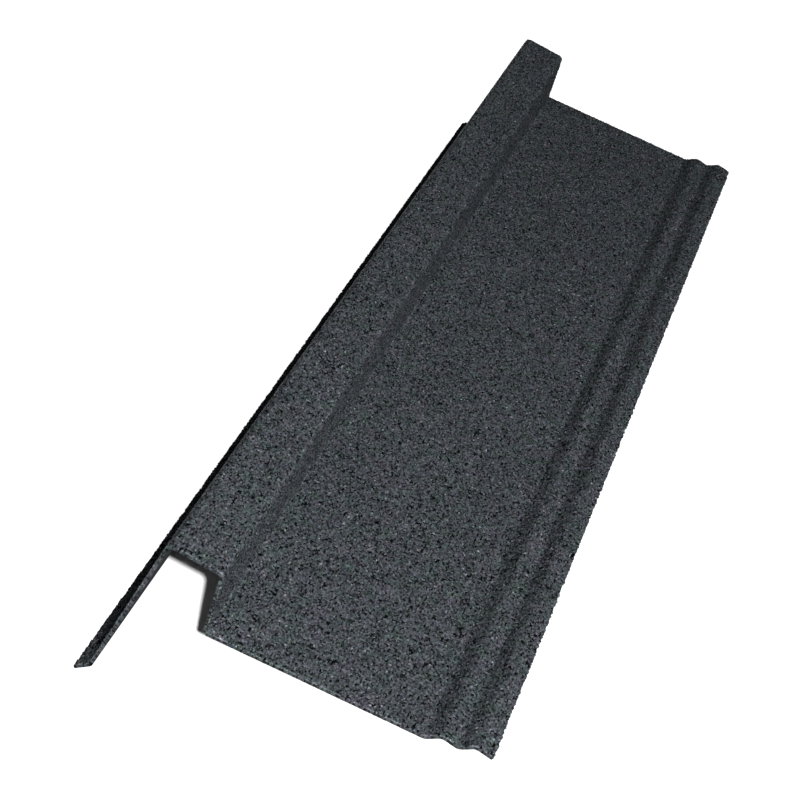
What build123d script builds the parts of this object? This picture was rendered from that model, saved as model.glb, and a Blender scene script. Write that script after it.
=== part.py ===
from build123d import *
import os
from math import atan2, cos, degrees, radians, sin, tan

# Verge flashing: one strip of stone-coated steel sheet, folded along its length.
# Sizes are in millimetres and follow the coated face, with the pan level as on a roof.

# Sheet
LENGTH = 1250.0
STEEL_THICKNESS = 0.5
COAT_THICKNESS = 1.5

# Folded section
DRIP_LIP = 11.0  # along the lip at the flange's foot, from its free edge to its fold
DRIP_KICK = 45.0  # degrees that the lip turns outwards from the flange
FLANGE_DEPTH = 112.0  # along the verge flange, from the lip to the cap
FLANGE_SPLAY = 10.0  # degrees that the flange leans outwards
CAP_WIDTH = 41.0
CAP_FALL = 4.5  # degrees that the cap falls from the flange towards the web
WEB_HEIGHT = 46.0
WEB_LEAN = 4.0  # degrees that the web leans towards the flange
PAN_WIDTH = 160.0  # flat of the pan, from the web to the first water stop
FOLD_RADIUS = 2.0  # inside radius of the four folds

# Water stops: waves with a rise on the side of the pan and a lesser fall behind it
STOP_COUNT = 2
STOP_FACE_RUN = 10.5
STOP_RISE = 6.3
STOP_BACK_RUN = 12.5
STOP_FALL = 2.5
STOP_RADIUS = 6.0  # inside radius of the rolled bends

SHEET_THICKNESS = STEEL_THICKNESS + COAT_THICKNESS


def downwards(lean):
    """Direction down the section, leaning outwards by some degrees."""
    return Vector(-sin(radians(lean)), -cos(radians(lean)))


def fold_corners():
    """Sharp corners of the coated face, from the drip lip's free edge to the foot of the first stop."""
    web_foot = Vector(0, 0)
    web_top = Vector(-WEB_HEIGHT * tan(radians(WEB_LEAN)), WEB_HEIGHT)
    verge = web_top + Vector(-cos(radians(CAP_FALL)), sin(radians(CAP_FALL))) * CAP_WIDTH
    flange_foot = verge + downwards(FLANGE_SPLAY) * FLANGE_DEPTH
    free_edge = flange_foot + downwards(FLANGE_SPLAY + DRIP_KICK) * DRIP_LIP
    return [free_edge, flange_foot, verge, web_top, web_foot, web_foot + Vector(PAN_WIDTH, 0)]


def stop_corners(foot):
    """Crest and heel of each water stop, stepping outwards from the pan."""
    corners = []
    for _ in range(STOP_COUNT):
        crest = foot + Vector(STOP_FACE_RUN, STOP_RISE)
        foot = crest + Vector(STOP_BACK_RUN, -STOP_FALL)
        corners += [crest, foot]
    return corners


def bend_radius(before, corner, after, inside_radius):
    """Radius on the coated face: the sheet's thickness is added where that face is outside the bend."""
    turn = (corner - before).cross(after - corner).Z
    return inside_radius + (SHEET_THICKNESS if turn < 0 else 0)


def bend_radii(corners, fold_count):
    """One radius for each corner between the two free edges: sharp folds first, then rolled bends."""
    radii = []
    for index in range(1, len(corners) - 1):
        inside_radius = FOLD_RADIUS if index <= fold_count else STOP_RADIUS
        radii.append(bend_radius(*corners[index - 1:index + 2], inside_radius))
    return radii


def folded_section():
    """Cross-section of the sheet: the coated face and its offset, closed square at both free edges."""
    folds = fold_corners()
    corners = folds + stop_corners(folds[-1])
    fold_count = len(folds) - 2
    with BuildSketch(Plane.XZ) as section:
        with BuildLine():
            FilletPolyline(*corners, radius=bend_radii(corners, fold_count))
            offset(amount=SHEET_THICKNESS, side=Side.RIGHT)
        make_face()
    return section.sketch


def resting_tilt(section):
    """Degrees to turn the section so that it lies on the drip lip's edge and the next lowest corner."""
    corners = section.vertices()
    heel = min(corners, key=lambda corner: corner.Z)
    slopes = [atan2(corner.Z - heel.Z, corner.X - heel.X) for corner in corners if corner.X > heel.X]
    return degrees(min(slopes))


def lay_on_floor(piece, tilt):
    """Turn the piece as it lies unheld, with the origin under the middle of its box."""
    tilted = Rot(0, tilt, 0) * piece
    box = tilted.bounding_box()
    return Pos(-box.center().X, -box.center().Y, -box.min.Z) * tilted


section = folded_section()
verge_flashing = lay_on_floor(extrude(section, amount=LENGTH / 2, both=True), resting_tilt(section))

os.makedirs("parts", exist_ok=True)
export_step(verge_flashing, "parts/verge_flashing.step")
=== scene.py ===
import math
from types import SimpleNamespace

import bpy
import numpy as np
from mathutils import Matrix, Vector


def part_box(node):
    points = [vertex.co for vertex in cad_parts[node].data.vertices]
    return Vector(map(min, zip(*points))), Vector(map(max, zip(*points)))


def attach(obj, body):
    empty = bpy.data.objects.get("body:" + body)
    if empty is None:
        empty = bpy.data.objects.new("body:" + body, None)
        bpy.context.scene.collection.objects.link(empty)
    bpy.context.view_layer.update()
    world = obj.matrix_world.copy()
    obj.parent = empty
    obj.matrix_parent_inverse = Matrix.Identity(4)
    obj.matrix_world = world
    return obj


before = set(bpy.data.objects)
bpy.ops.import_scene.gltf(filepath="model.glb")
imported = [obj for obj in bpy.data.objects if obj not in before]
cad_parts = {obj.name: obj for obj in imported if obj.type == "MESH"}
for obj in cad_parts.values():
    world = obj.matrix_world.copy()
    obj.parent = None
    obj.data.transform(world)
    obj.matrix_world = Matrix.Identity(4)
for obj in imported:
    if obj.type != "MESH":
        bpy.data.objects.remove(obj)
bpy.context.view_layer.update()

MM = 0.001
RANDOM = np.random.default_rng(20)
LENGTHWAYS = np.array([0.0, 1.0, 0.0])

# Sheet, as packed: every coated face of the folded sheet leans towards COATED_SIDE.
NODE = "verge_flashing"
COATED_SIDE = Vector((0.318, 0.0, 0.948))
COATED_LEAST = 0.05  # least cosine between a coated face's normal and that side
CUT_END_LEAST = 0.5  # a face whose normal runs further along the length than this is a cut end
SAME_PLACE = 1e-6  # metres within which two places are one
PLACE_DIGITS = 6  # of a metre, to which places in the section are rounded
SHEET_THICKNESS = 2.0 * MM
BEND_BLUR = 1.2 * MM  # stretch on each side over which the direction along the section is taken

# Stone granules: one faceted grain in each cell of a shaken lattice over the flattened sheet
GRAIN_WIDTH = 1.15 * MM  # across the folds
GRAIN_LENGTH = 2.0 * MM  # along the folds
GRAIN_SHAKE = 0.36  # most that a cell's corner strays, as a share of the cell
PEAK_SHAKE = 0.22  # most that a grain's peak strays, as a share of the cell
VALLEY_LEAST = 0.03 * MM  # least height of a cell's corners over the sheet
VALLEY_HEIGHT = 0.15 * MM  # greatest height of a cell's corners inside the sheet's edges
EDGE_HEIGHT = 0.9 * MM  # greatest height of the corners on the long edges
END_HEIGHT = 0.35 * MM  # greatest height of the corners on the cut ends
GRAIN_HEIGHT = 0.85 * MM  # middling height of a peak over its cell
GRAIN_SPREAD = 0.35  # of the logarithm of the peaks' heights
GRAIN_LIMITS = (-0.8, 0.5)  # of the same logarithm
END_RISE = 0.3  # share of a peak's height that is left on the cut ends
END_PAINTED_SHADE = 0.28  # share of a grain's tone that is left on the cut ends, a painted shade that darkens them
BARE_SHARE = 0.035  # of the cells, which are dark pits without a grain
PIT_RUN_SHARE = 0.35  # of the pits, which take in the next cell along the folds
PIT_WIDEN_SHARE = 0.25  # of the pits, which take in the next cell across the folds
FACETS = 4  # of each grain, one on each side of its cell

# Strips of the coat, and where all but the last end, along the section from the drip lip's free edge
COAT_STRIPS = ("coat_lip", "coat_flange_low", "coat_flange_high", "coat_cap_and_web", "coat_pan_inner",
               "coat_pan_outer", "coat_stops")
STRIP_BOUNDS = np.array([11.0, 67.0, 123.0, 206.0, 286.0, 366.0]) * MM
SKIRT_DEPTH = 0.8 * MM  # of a strip's closed underside, below the sheet's coated face
SKIRT_INSET = 0.5 * MM  # of that underside, inside the sheet's edges
UV_ROWS = 4  # lengths that a strip is cut into on its flat map
UV_MARGIN = 0.004

# Looks: ramps are lists of places and colours, where a single number is a grey, and scales are per metre
GRAIN_TONES = [(0.0, (0.002, 0.002, 0.002)), (0.06, (0.010, 0.011, 0.012)), (0.2, (0.036, 0.040, 0.043)),
               (0.5, (0.062, 0.068, 0.074)), (0.8, (0.090, 0.098, 0.105)), (0.985, (0.116, 0.124, 0.132)),
               (1.0, (0.25, 0.26, 0.27))]
GRAIN_TINTS = [(0.0, (1.04, 1.00, 0.97)), (0.12, (0.97, 1.00, 1.02)), (0.55, (0.95, 1.00, 1.01)),
               (0.80, (0.92, 0.99, 1.10)), (1.0, (0.90, 1.02, 0.98))]
GRAIN_ROUGHNESS = [(0.0, 0.6), (0.2, 0.8), (1.0, 0.95)]
GRAIN_GLOSS = 0.05
CRUMB_SCALE = 1100.0
CRUMB_SHADES = [(0.0, 0.5), (0.5, 1.0), (1.0, 1.4)]
PATCH_SCALE = 75.0
PATCH_DETAIL = 2.0
PATCH_CAST = [(0.3, (0.88, 1.00, 0.90)), (0.7, (1.12, 1.00, 1.10))]
GRIT_SCALE = 3200.0
GRIT_DETAIL = 3.0
GRIT_STRENGTH = 0.5
GRIT_DEPTH = 0.15 * MM
BINDER_SCALE = 400.0
BINDER_DETAIL = 4.0
BINDER_TONES = [(0.3, (0.012, 0.013, 0.014)), (0.7, (0.03, 0.031, 0.033))]
BINDER_ROUGHNESS = [(0.3, 0.65), (0.7, 0.9)]
PRIMER_STRETCH = (1.0, 0.08, 1.0)
PRIMER_SCALE = 90.0
PRIMER_DETAIL = 5.0
PRIMER_TONES = [(0.3, (0.060, 0.063, 0.066)), (0.7, (0.082, 0.085, 0.088))]
PRIMER_ROUGHNESS = [(0.3, 0.38), (0.7, 0.52)]
FLOOR_COLOUR = (0.86, 0.86, 0.86, 1.0)
FLOOR_ROUGHNESS = 0.9

# Camera, at the photograph's viewpoint, with angles in degrees here and below
CAMERA_PLACE = Vector((0.3421, -2.1923, 0.9605))
VIEW_AZIMUTH = -10.412
VIEW_ELEVATION = 24.294
VIEW_ROLL = -6.989
FOCAL_PIXELS = 2800
IMAGE_SIDE = 800
SENSOR_WIDTH = 36.0

# Stage: each soft light has its place, its side in metres and its power in watts
FLOOR_SIDE = 40.0
LIGHT_TARGET = (0.0, -0.3, 0.0)
SOFT_LIGHTS = [("front_high", (1.2, -4.2, 2.0), 0.6, 212.0), ("front_low", (1.5, -4.2, 1.0), 0.6, 210.0),
               ("near_front", (0.47, -2.2, 1.0), 0.3, 12.0), ("near_right", (0.9, -1.3, 0.45), 0.4, 1.6)]
FLOOR_LIGHT = 9.5  # strength of the sun for the floor alone
FLOOR_LIGHT_SPREAD = 1.5
FLOOR_LIGHT_PLACE = (0.47, -2.19, 0.965)
FLOOR_LIGHT_TARGET = (-0.05, -0.625, 0.06)
FLAG_SINK = 1.5 * MM  # of the screen that blocks that sun, below the coated face
FLAG_NEAR_INSET = 1.0 * MM  # of the screen, inside the sheet's near end
FLAG_FAR_INSET = 225.0 * MM  # of the screen, inside the sheet's far end
BOUNCE_LIGHT = 4.0  # strength of the sun that stands for light thrown back by the floor
BOUNCE_SPREAD = 30.0
BOUNCE_PLACE = (-0.94, 0.0, -0.34)
BOUNCE_TARGET = (0.0, 0.0, 0.0)
SURROUND = 0.1
SURROUND_SIDE = Vector((-0.9, 0.0, -0.44))

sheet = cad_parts[NODE]
sheet_low, sheet_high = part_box(NODE)


def section_place(point):
    """A point's place in the section, rounded so that ends that meet are equal."""
    return round(point.x, PLACE_DIGITS), round(point.z, PLACE_DIGITS)


def coated_profile():
    """Points of the coated face across the near end, from the drip lip's free edge to the stops' edge."""
    vertices = sheet.data.vertices
    near_end = min(vertex.co.y for vertex in vertices)
    steps = {}
    for face in sheet.data.polygons:
        points = [vertices[index].co for index in face.vertices]
        ends = [point for point in points if abs(point.y - near_end) < SAME_PLACE]
        cut_end = abs(face.normal.y) > CUT_END_LEAST
        if cut_end or len(ends) != 2 or face.normal.dot(COATED_SIDE) < COATED_LEAST:
            continue
        along = Vector((face.normal.z, 0.0, -face.normal.x))
        first, second = sorted(ends, key=along.dot)
        steps[section_place(first)] = section_place(second)
    place = next(start for start in steps if start not in steps.values())
    profile = [place]
    while place in steps:
        place = steps[place]
        profile.append(place)
    return np.array(profile)


def resampled(profile, count):
    """Evenly spaced places along the profile, with the direction along it and the outward normal at each."""
    reach = np.concatenate([[0.0], np.cumsum(np.linalg.norm(np.diff(profile, axis=0), axis=1))])

    def at(distance):
        return np.column_stack([np.interp(distance, reach, profile[:, axis]) for axis in (0, 1)])

    distance = np.linspace(0.0, reach[-1], count + 1)
    along = at(np.minimum(distance + BEND_BLUR, reach[-1])) - at(np.maximum(distance - BEND_BLUR, 0.0))
    along /= np.linalg.norm(along, axis=1, keepdims=True)
    flat = np.zeros(count + 1)
    places = at(distance)
    return (np.column_stack([places[:, 0], flat, places[:, 1]]),
            np.column_stack([along[:, 0], flat, along[:, 1]]),
            np.column_stack([-along[:, 1], flat, along[:, 0]]))


def lattice_line(cells):
    """Where each point of one lattice line stands, counted in cells, and -1 or 1 where that is an edge.

    One more point at each end stands on the same edge, to turn down over it.
    """
    count = np.arange(-1, cells + 2)
    side = (count >= cells).astype(float) - (count <= 0)
    return count.clip(0, cells), side


def sheet_grid():
    """The lattice before it is shaken: places on the sheet, and the directions at each of them."""
    profile = coated_profile()
    girth = np.linalg.norm(np.diff(profile, axis=0), axis=1).sum()
    length = sheet_high.y - sheet_low.y
    across = round(girth / GRAIN_WIDTH)
    lengthwise = round(length / GRAIN_LENGTH)
    places, along, normal = resampled(profile, across)
    column, column_side = lattice_line(across)
    row, row_side = lattice_line(lengthwise)
    shape = (len(row), len(column))

    turned = np.zeros(shape, bool)
    turned[[0, -1], :] = True
    turned[:, [0, -1]] = True
    grid = SimpleNamespace(shape=shape, turned=turned, columns_per_metre=across / girth)
    grid.normal = np.broadcast_to(normal[column], shape + (3,))
    grid.along = np.broadcast_to(along[column], shape + (3,))
    grid.side_across = column_side[None, :, None]
    grid.side_length = row_side[:, None, None]

    outward = grid.along * grid.side_across + LENGTHWAYS * grid.side_length
    outward = grid.normal * ~turned[..., None] + outward
    grid.outward = outward / np.linalg.norm(outward, axis=2, keepdims=True)
    reach = sheet_low.y + row * length / lengthwise
    base = places[column][None] + LENGTHWAYS * reach[:, None, None]
    grid.base = base - grid.normal * (turned * SHEET_THICKNESS)[..., None]
    return grid


def cell_corners(points):
    """The four corners of every cell, in turn round the cell."""
    return points[:-1, :-1], points[1:, :-1], points[1:, 1:], points[:-1, 1:]


def facet_edges(corners):
    """The four edges of a cell, wound so that the facets on them face outwards."""
    return list(zip(corners[1:] + corners[:1], corners))


def grain_corners(grid):
    """The lattice's points, shaken along the sheet but kept on its edges, and lifted off it."""
    on_edge_across = grid.side_across[..., 0] != 0
    on_edge_length = grid.side_length[..., 0] != 0
    shake = RANDOM.uniform(-GRAIN_SHAKE, GRAIN_SHAKE, grid.shape + (2,)) * (GRAIN_WIDTH, GRAIN_LENGTH)
    slide_across = grid.along * (shake[..., 0] * ~on_edge_across)[..., None]
    slide_length = LENGTHWAYS * (shake[..., 1] * ~on_edge_length)[..., None]
    most = np.where(on_edge_across, EDGE_HEIGHT, np.where(on_edge_length, END_HEIGHT, VALLEY_HEIGHT))
    height = np.maximum(RANDOM.uniform(0.0, 1.0, grid.shape) * most, VALLEY_LEAST)
    return grid.base + slide_across + slide_length + grid.outward * height[..., None]


def grain_peaks(grid, corners):
    """Each grain's peak, and its share of full tone: none in a pit, and little on the cut ends, where it is
    painted shade.
    """
    shape = (grid.shape[0] - 1, grid.shape[1] - 1)
    middle = sum(cell_corners(corners)) / FACETS
    outward = sum(cell_corners(grid.outward))
    outward /= np.linalg.norm(outward, axis=2, keepdims=True)
    rise = GRAIN_HEIGHT * np.exp(RANDOM.normal(0.0, GRAIN_SPREAD, shape).clip(*GRAIN_LIMITS))
    bare = RANDOM.random(shape) < BARE_SHARE
    bare[1:] |= bare[:-1] & (RANDOM.random(shape) < PIT_RUN_SHARE)[1:]
    bare[:, 1:] |= bare[:, :-1] & (RANDOM.random(shape) < PIT_WIDEN_SHARE)[:, 1:]
    rise[bare] = 0.0
    rise[[0, -1], :] *= END_RISE
    pits_and_painted_end_shade = np.where(bare, 0.0, 1.0)
    # painted shade: grains on the cut ends keep only part of their tone
    pits_and_painted_end_shade[[0, -1], :] *= END_PAINTED_SHADE
    shake = RANDOM.uniform(-PEAK_SHAKE, PEAK_SHAKE, shape + (2,)) * (GRAIN_WIDTH, GRAIN_LENGTH)
    peaks = middle + outward * rise[..., None]
    peaks = peaks + grid.along[:-1, :-1] * shake[..., :1] + LENGTHWAYS * shake[..., 1:]
    return peaks, pits_and_painted_end_shade


def closing_layer(grid):
    """Points inside the sheet, under the lattice's own, that close the strips from below."""
    depth = np.where(grid.turned, SKIRT_DEPTH - SHEET_THICKNESS, SKIRT_DEPTH)
    edge_way = grid.along * grid.side_across + LENGTHWAYS * grid.side_length
    inset = edge_way * (grid.turned * SKIRT_INSET)[..., None]
    return grid.base - grid.normal * depth[..., None] - inset


def strip_faces(rows, columns):
    """Faces of one closed strip: the facets, the skirt round it and the long faces below, and its rim."""
    corner = np.arange(rows * columns).reshape(rows, columns)
    peak = corner.size + np.arange((rows - 1) * (columns - 1)).reshape(rows - 1, columns - 1)
    facets = [np.stack(ends + (peak,), axis=-1) for ends in facet_edges(cell_corners(corner))]

    below = corner.size + peak.size
    rim = np.concatenate([corner[0, :-1], corner[:-1, -1], corner[-1, :0:-1], corner[:0:-1, 0]])
    foot = {place: below + index for index, place in enumerate(rim)}
    skirt = [(place, following, foot[following], foot[place])
             for place, following in zip(rim, np.roll(rim, -1))]
    bottom = []
    for column in range(columns - 1):
        left = corner[::-1, 0] if column == 0 else corner[[-1, 0], column]
        right = corner[:, -1] if column == columns - 2 else corner[[0, -1], column + 1]
        bottom.append([foot[place] for place in np.concatenate([right, left])])
    return np.concatenate(facets).reshape(-1, 3), skirt + bottom, rim


def strip_map(rows, columns):
    """Places of the facets' corners on a flat map: the strip is cut into lengths, laid side by side."""
    cell_row, cell_column = np.meshgrid(np.arange(rows - 1), np.arange(columns - 1), indexing="ij")
    per_length = math.ceil((rows - 1) / UV_ROWS)
    step_u = (1 - 2 * UV_MARGIN) / per_length
    step_v = (1 / UV_ROWS - 2 * UV_MARGIN) / (columns - 1)
    u = UV_MARGIN + (cell_row % per_length) * step_u
    v = (cell_row // per_length) / UV_ROWS + UV_MARGIN + cell_column * step_v
    corners = ((u, v), (u + step_u, v), (u + step_u, v + step_v), (u, v + step_v))
    middle = (u + step_u / 2, v + step_v / 2)
    facets = []
    for ends in facet_edges(corners):
        facets.append(np.stack([np.stack(place, axis=-1) for place in ends + (middle,)], axis=2))
    return np.concatenate(facets).reshape(-1, 2)


def strip_mesh(name, points, facets, others):
    """A mesh whose facets take its first material and whose other faces take its second."""
    loops = np.concatenate([facets.reshape(-1)] + [np.array(face) for face in others])
    sizes = np.concatenate([np.full(len(facets), facets.shape[1]), [len(face) for face in others]])
    starts = np.concatenate([[0], np.cumsum(sizes)[:-1]])
    second_material = np.arange(len(sizes)) >= len(facets)
    mesh = bpy.data.meshes.new(name)
    mesh.vertices.add(len(points))
    mesh.vertices.foreach_set("co", points.reshape(-1).astype(np.float32))
    mesh.loops.add(len(loops))
    mesh.loops.foreach_set("vertex_index", loops.astype(np.int32))
    mesh.polygons.add(len(sizes))
    mesh.polygons.foreach_set("loop_start", starts.astype(np.int32))
    mesh.polygons.foreach_set("material_index", second_material.astype(np.int32))
    return mesh


def add_flat_map(mesh, facet_places):
    """A flat map that spreads the facets out and leaves the hidden faces at its corner."""
    places = np.zeros((len(mesh.loops), 2), np.float32)
    places[:len(facet_places)] = facet_places
    mesh.uv_layers.new(name="OFBake").data.foreach_set("uv", places.reshape(-1))


def add_grain_values(mesh, pits_and_painted_end_shade):
    """A random tone and a random tint for each grain, the same on all its facets; the tone is cut to nothing
    in pits and cut down on the cut ends as painted shade.
    """
    for attribute, most in (("grain_tone", pits_and_painted_end_shade), ("grain_hue", 1.0)):
        values = np.zeros(len(mesh.polygons), np.float32)
        values[:pits_and_painted_end_shade.size * FACETS] = np.tile((RANDOM.random(pits_and_painted_end_shade.shape) * most).reshape(-1), FACETS)
        mesh.attributes.new(attribute, "FLOAT", "FACE").data.foreach_set("value", values)


def coat_strip(name, corners, peaks, under, pits_and_painted_end_shade, materials):
    """One strip of the stone coat as a closed piece."""
    rows, columns = corners.shape[:2]
    facets, others, rim = strip_faces(rows, columns)
    points = np.concatenate([corners.reshape(-1, 3), peaks.reshape(-1, 3), under.reshape(-1, 3)[rim]])
    mesh = strip_mesh(name, points, facets, others)
    add_flat_map(mesh, strip_map(rows, columns))
    # the grains' tone shares hold the painted shade on the cut ends
    add_grain_values(mesh, pits_and_painted_end_shade)
    mesh.update(calc_edges=True)
    mesh.validate()
    for material in materials:
        mesh.materials.append(material)
    strip = bpy.data.objects.new(name, mesh)
    bpy.context.scene.collection.objects.link(strip)
    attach(strip, "root")
    return strip


def build_coat():
    """Cover the coated face with grains, cut the cover into strips and make a piece of each."""
    grid = sheet_grid()
    corners = grain_corners(grid)
    peaks, pits_and_painted_end_shade = grain_peaks(grid, corners)
    under = closing_layer(grid)
    for points in (corners, peaks):
        points[..., 2] = np.maximum(points[..., 2], 0.0)
    materials = [granule_material(), binder_material()]
    inner = (STRIP_BOUNDS * grid.columns_per_metre).round().astype(int) + 1
    bounds = np.concatenate([[0], inner, [peaks.shape[1]]])
    return [coat_strip(name, corners[:, first:last + 1], peaks[:, first:last], under[:, first:last + 1],
                       pits_and_painted_end_shade[:, first:last], materials)
            for name, first, last in zip(COAT_STRIPS, bounds[:-1], bounds[1:])]


def new_material(name):
    """A new material, its node tree and its shader."""
    material = bpy.data.materials.new(name)
    material.use_nodes = True
    return material, material.node_tree, material.node_tree.nodes["Principled BSDF"]


def object_place(tree):
    """The place on the object itself, for textures."""
    return tree.nodes.new("ShaderNodeTexCoord").outputs["Object"]


def attribute_value(tree, name):
    """The number that each face of a strip carries under this name."""
    node = tree.nodes.new("ShaderNodeAttribute")
    node.attribute_name = name
    return node.outputs["Fac"]


def noise(tree, place, scale, detail):
    """Soft noise at a place."""
    node = tree.nodes.new("ShaderNodeTexNoise")
    node.inputs["Scale"].default_value = scale
    node.inputs["Detail"].default_value = detail
    tree.links.new(place, node.inputs["Vector"])
    return node.outputs["Fac"]


def crumb_value(tree, place):
    """A random number for each of the crumbs that a grain is made of."""
    crumbs = tree.nodes.new("ShaderNodeTexVoronoi")
    crumbs.inputs["Scale"].default_value = CRUMB_SCALE
    tree.links.new(place, crumbs.inputs["Vector"])
    parts = tree.nodes.new("ShaderNodeSeparateColor")
    tree.links.new(crumbs.outputs["Color"], parts.inputs["Color"])
    return parts.outputs["Red"]


def ramp(tree, value, stops, smooth="LINEAR"):
    """The colour that a ramp with these stops gives to a value."""
    node = tree.nodes.new("ShaderNodeValToRGB")
    node.color_ramp.interpolation = smooth
    elements = node.color_ramp.elements
    for index, (place, colour) in enumerate(stops):
        element = elements[index] if index < len(elements) else elements.new(place)
        element.position = place
        element.color = (*colour, 1.0) if isinstance(colour, tuple) else (colour, colour, colour, 1.0)
    tree.links.new(value, node.inputs["Fac"])
    return node.outputs["Color"]


def multiplied(tree, first, second):
    """The product of two colours."""
    node = tree.nodes.new("ShaderNodeMix")
    node.data_type = "RGBA"
    node.blend_type = "MULTIPLY"
    node.inputs["Factor"].default_value = 1.0
    tree.links.new(first, node.inputs["A"])
    tree.links.new(second, node.inputs["B"])
    return node.outputs["Result"]


def granule_material():
    """Crushed charcoal stone: each grain has its own tone, tint and sheen, and crumbs and a fine grit."""
    material, tree, shader = new_material("stone_granules")
    place = object_place(tree)
    hue = attribute_value(tree, "grain_hue")
    colour = ramp(tree, attribute_value(tree, "grain_tone"), GRAIN_TONES)
    colour = multiplied(tree, colour, ramp(tree, hue, GRAIN_TINTS, "CONSTANT"))
    colour = multiplied(tree, colour, ramp(tree, crumb_value(tree, place), CRUMB_SHADES))
    patches = noise(tree, place, PATCH_SCALE, PATCH_DETAIL)
    colour = multiplied(tree, colour, ramp(tree, patches, PATCH_CAST))
    tree.links.new(colour, shader.inputs["Base Color"])

    bump = tree.nodes.new("ShaderNodeBump")
    bump.inputs["Strength"].default_value = GRIT_STRENGTH
    bump.inputs["Distance"].default_value = GRIT_DEPTH
    tree.links.new(noise(tree, place, GRIT_SCALE, GRIT_DETAIL), bump.inputs["Height"])
    tree.links.new(bump.outputs["Normal"], shader.inputs["Normal"])
    tree.links.new(ramp(tree, hue, GRAIN_ROUGHNESS), shader.inputs["Roughness"])
    shader.inputs["Specular IOR Level"].default_value = GRAIN_GLOSS
    return material


def binder_material():
    """Dark adhesive under the grains, thinner in places."""
    material, tree, shader = new_material("granule_binder")
    film = noise(tree, object_place(tree), BINDER_SCALE, BINDER_DETAIL)
    tree.links.new(ramp(tree, film, BINDER_TONES), shader.inputs["Base Color"])
    tree.links.new(ramp(tree, film, BINDER_ROUGHNESS), shader.inputs["Roughness"])
    return material


def primer_material():
    """Smooth dark primer with faint streaks along the sheet."""
    material, tree, shader = new_material("primed_steel")
    stretch = tree.nodes.new("ShaderNodeMapping")
    stretch.inputs["Scale"].default_value = PRIMER_STRETCH
    tree.links.new(object_place(tree), stretch.inputs["Vector"])
    streaks = noise(tree, stretch.outputs["Vector"], PRIMER_SCALE, PRIMER_DETAIL)
    tree.links.new(ramp(tree, streaks, PRIMER_TONES), shader.inputs["Base Color"])
    tree.links.new(ramp(tree, streaks, PRIMER_ROUGHNESS), shader.inputs["Roughness"])
    return material


def dress_sheet():
    """Give the folded sheet itself its primer."""
    sheet.data.materials.clear()
    sheet.data.materials.append(primer_material())


def add_floor():
    """A plain pale floor, which throws no light or shadow on the object."""
    material, _, shader = new_material("pale_floor")
    shader.inputs["Base Color"].default_value = FLOOR_COLOUR
    shader.inputs["Roughness"].default_value = FLOOR_ROUGHNESS
    bpy.ops.mesh.primitive_plane_add(size=FLOOR_SIDE, location=(0.0, 0.0, 0.0))
    floor = bpy.context.object
    floor.name = "floor"
    floor.data.materials.append(material)
    floor.visible_diffuse = False
    floor.visible_glossy = False
    floor.visible_shadow = False
    return floor


def add_flag():
    """A screen inside the sheet, from the cap to the stops, that shades the floor from its own light."""
    profile = coated_profile()
    profile = profile[profile[:, 1].argmax():]
    points = []
    for end in (sheet_low.y + FLAG_NEAR_INSET, sheet_high.y - FLAG_FAR_INSET):
        points += [Vector((x, end, z)) - COATED_SIDE * FLAG_SINK for x, z in profile]
    count = len(profile)
    faces = [(near, near + 1, count + near + 1, count + near) for near in range(count - 1)]
    mesh = bpy.data.meshes.new("floor_light_flag")
    mesh.from_pydata(points, [], faces)
    flag = bpy.data.objects.new("floor_light_flag", mesh)
    bpy.context.scene.collection.objects.link(flag)
    return flag


def collection_of(name, objects):
    """A collection that only names objects for a light."""
    group = bpy.data.collections.new(name)
    for item in objects:
        group.objects.link(item)
    return group


def add_light(name, kind, place, target, power):
    """A light aimed at a point, and left out of the picture itself."""
    data = bpy.data.lights.new(name, kind)
    data.energy = power
    light = bpy.data.objects.new(name, data)
    light.location = place
    light.rotation_euler = (Vector(target) - Vector(place)).to_track_quat("-Z", "Y").to_euler()
    light.visible_camera = False
    bpy.context.scene.collection.objects.link(light)
    return light


def add_object_lights(coat):
    """Soft lights from the front, and light thrown back from below on all but the drip lip."""
    lip, *above_lip = coat
    lit_softly = collection_of("lit_by_soft_lights", [sheet, lip, *above_lip])
    for name, place, side, power in SOFT_LIGHTS:
        light = add_light(name, "AREA", place, LIGHT_TARGET, power)
        light.data.size = side
        light.light_linking.receiver_collection = lit_softly
    bounce = add_light("floor_bounce", "SUN", BOUNCE_PLACE, BOUNCE_TARGET, BOUNCE_LIGHT)
    bounce.data.angle = math.radians(BOUNCE_SPREAD)
    bounce.light_linking.receiver_collection = collection_of("lit_by_bounce", [sheet, *above_lip])


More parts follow.
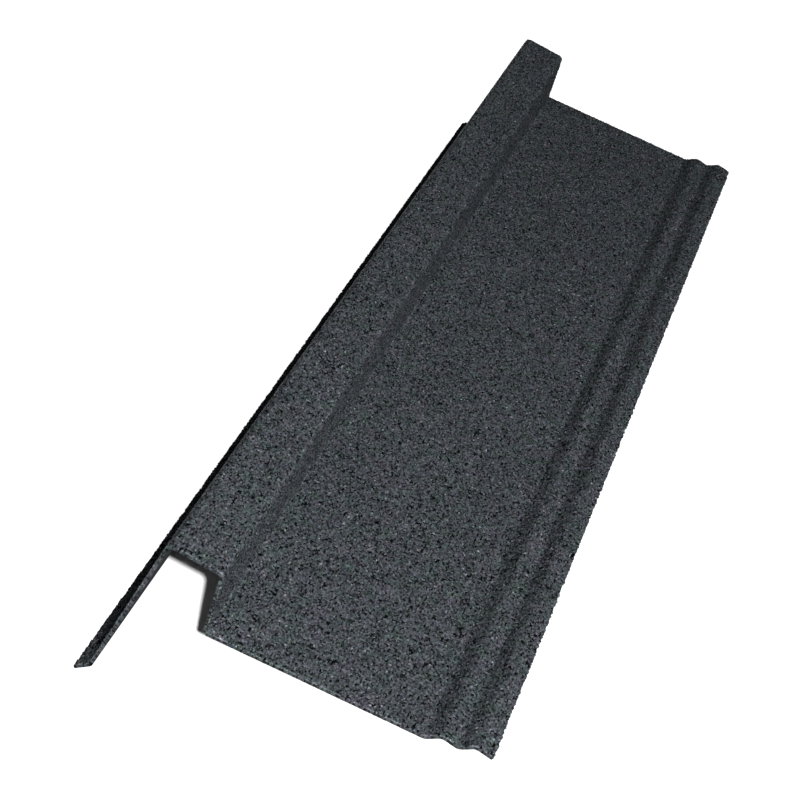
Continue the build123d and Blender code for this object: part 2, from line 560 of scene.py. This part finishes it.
def add_floor_light(floor, flag):
    """A light for the floor alone, which only the flag blocks."""
    light = add_light("floor_light", "SUN", FLOOR_LIGHT_PLACE, FLOOR_LIGHT_TARGET, FLOOR_LIGHT)
    light.data.angle = math.radians(FLOOR_LIGHT_SPREAD)
    light.light_linking.receiver_collection = collection_of("lit_by_floor_light", [floor])
    light.light_linking.blocker_collection = collection_of("shading_floor_light", [flag])


def add_surround():
    """Faint light that a pale floor would throw back, from below and from the side of the verge flange."""
    world = bpy.data.worlds.new("surround")
    world.use_nodes = True
    tree = world.node_tree
    nearness = tree.nodes.new("ShaderNodeVectorMath")
    nearness.operation = "DOT_PRODUCT"
    nearness.inputs[1].default_value = SURROUND_SIDE
    tree.links.new(tree.nodes.new("ShaderNodeTexCoord").outputs["Generated"], nearness.inputs[0])
    glow = ramp(tree, nearness.outputs["Value"], [(0.0, 0.0), (1.0, 1.0)], "EASE")
    background = tree.nodes["Background"]
    tree.links.new(glow, background.inputs["Color"])
    background.inputs["Strength"].default_value = SURROUND
    bpy.context.scene.world = world


def add_camera():
    """The photograph's viewpoint, tilt and focal length."""
    azimuth = math.radians(VIEW_AZIMUTH)
    elevation = math.radians(VIEW_ELEVATION)
    roll = math.radians(VIEW_ROLL)
    forward = Vector((math.sin(azimuth) * math.cos(elevation), math.cos(azimuth) * math.cos(elevation),
                      -math.sin(elevation)))
    level = forward.cross(Vector((0.0, 0.0, 1.0))).normalized()
    up = level.cross(forward) * math.cos(roll) + level * math.sin(roll)
    right = forward.cross(up)
    data = bpy.data.cameras.new("camera")
    data.sensor_width = SENSOR_WIDTH
    data.lens = FOCAL_PIXELS / IMAGE_SIDE * SENSOR_WIDTH
    camera = bpy.data.objects.new("camera", data)
    turn = Matrix((right, up, -forward)).transposed().to_4x4()
    camera.matrix_world = Matrix.Translation(CAMERA_PLACE) @ turn
    bpy.context.scene.collection.objects.link(camera)
    bpy.context.scene.camera = camera


dress_sheet()
add_object_lights(build_coat())
add_floor_light(add_floor(), add_flag())
add_surround()
add_camera()
bpy.context.scene.view_settings.view_transform = "Standard"
